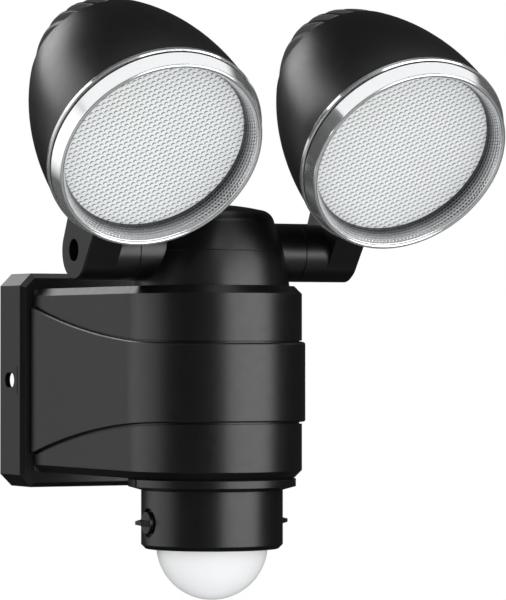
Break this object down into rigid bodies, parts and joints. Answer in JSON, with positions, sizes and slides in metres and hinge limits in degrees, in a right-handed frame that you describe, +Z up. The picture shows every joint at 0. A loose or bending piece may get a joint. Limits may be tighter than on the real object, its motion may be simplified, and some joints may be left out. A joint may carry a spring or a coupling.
{
  "type": "led floodlight",
  "caption": "Wall-mounted security floodlight: egg-shaped lamp heads with bright bezels tilt on a turret above a banded round-front body with a motion sensor dome and adjusting knobs.",
  "frame": {"origin": "middle of the face that lies on the wall", "axes": "+Z up, +Y into the wall, so the light faces -Y, and +X to the right seen from the front"},
  "size_m": [0.2154, 0.2302, 0.2638],
  "materials": {
    "black_plastic": "satin",
    "inner_plastic": "matte",
    "black_sheet": "satin",
    "bright_bezel": "polished",
    "clear_lens": "gloss",
    "milky_dome": "satin",
    "bright_reflector": "polished",
    "bare_aluminium": "satin",
    "white_board": "satin",
    "phosphor": "satin",
    "black_rubber": "matte",
    "steel": "satin",
    "wrapped_cell": "satin",
    "green_board": "satin",
    "adjuster": "satin"
  },
  "bodies": {
    "housing": {"wall_bracket": "black_sheet", "back_box": "black_plastic", "case_screws": "steel", "body_seal": "black_rubber", "body_housing": "black_plastic", "battery_tray": "inner_plastic", "batteries": "wrapped_cell", "front_contacts": "steel", "door_contacts": "steel", "battery_door": "inner_plastic", "door_screws": "steel", "control_board": "green_board", "control_board_screws": "steel", "turret_lower": "black_plastic", "turret_upper": "black_plastic", "turret_clamp_screws": "steel", "turret_screws": "steel", "pivot_screws": "steel", "pivot_washers": "steel", "left_arm_stub": "black_plastic", "right_arm_stub": "black_plastic", "sensor_housing": "black_plastic", "sensor_seal": "black_rubber", "sensor_screws": "steel", "sensor_dome": "milky_dome", "dome_retainer": "inner_plastic", "sensor_board": "green_board", "pir_sensor": "steel", "potentiometers": "adjuster"},
    "left_head": {"left_head_shell": "black_plastic", "left_head_ear": "black_plastic", "left_bezel": "bright_bezel", "left_lens": "clear_lens", "left_lens_seal": "black_rubber", "left_reflector": "bright_reflector", "left_led_board": "white_board", "left_led": "phosphor", "left_heat_sink": "bare_aluminium"},
    "right_head": {"right_head_shell": "black_plastic", "right_head_ear": "black_plastic", "right_bezel": "bright_bezel", "right_lens": "clear_lens", "right_lens_seal": "black_rubber", "right_reflector": "bright_reflector", "right_led_board": "white_board", "right_led": "phosphor", "right_heat_sink": "bare_aluminium"},
    "left_knob": {"left_knob": "black_plastic"},
    "right_knob": {"right_knob": "black_plastic"}
  },
  "joints": [
    {"name": "left_head_tilt", "type": "hinge", "parent": "housing", "child": "left_head", "pos_m": [-0.05965, -0.13, 0.0578], "axis": [1, 0, 0], "range_deg": [-45, 45]},
    {"name": "left_knob_turn", "type": "hinge", "parent": "housing", "child": "left_knob", "pos_m": [-0.032, -0.13, -0.062], "axis": [-1, 0, 0], "range_deg": [-135, 135]},
    {"name": "right_head_tilt", "type": "hinge", "parent": "housing", "child": "right_head", "pos_m": [0.05965, -0.13, 0.0578], "axis": [1, 0, 0], "range_deg": [-45, 45]},
    {"name": "right_knob_turn", "type": "hinge", "parent": "housing", "child": "right_knob", "pos_m": [0.032, -0.13, -0.062], "axis": [1, 0, 0], "range_deg": [-135, 135]}
  ]
}
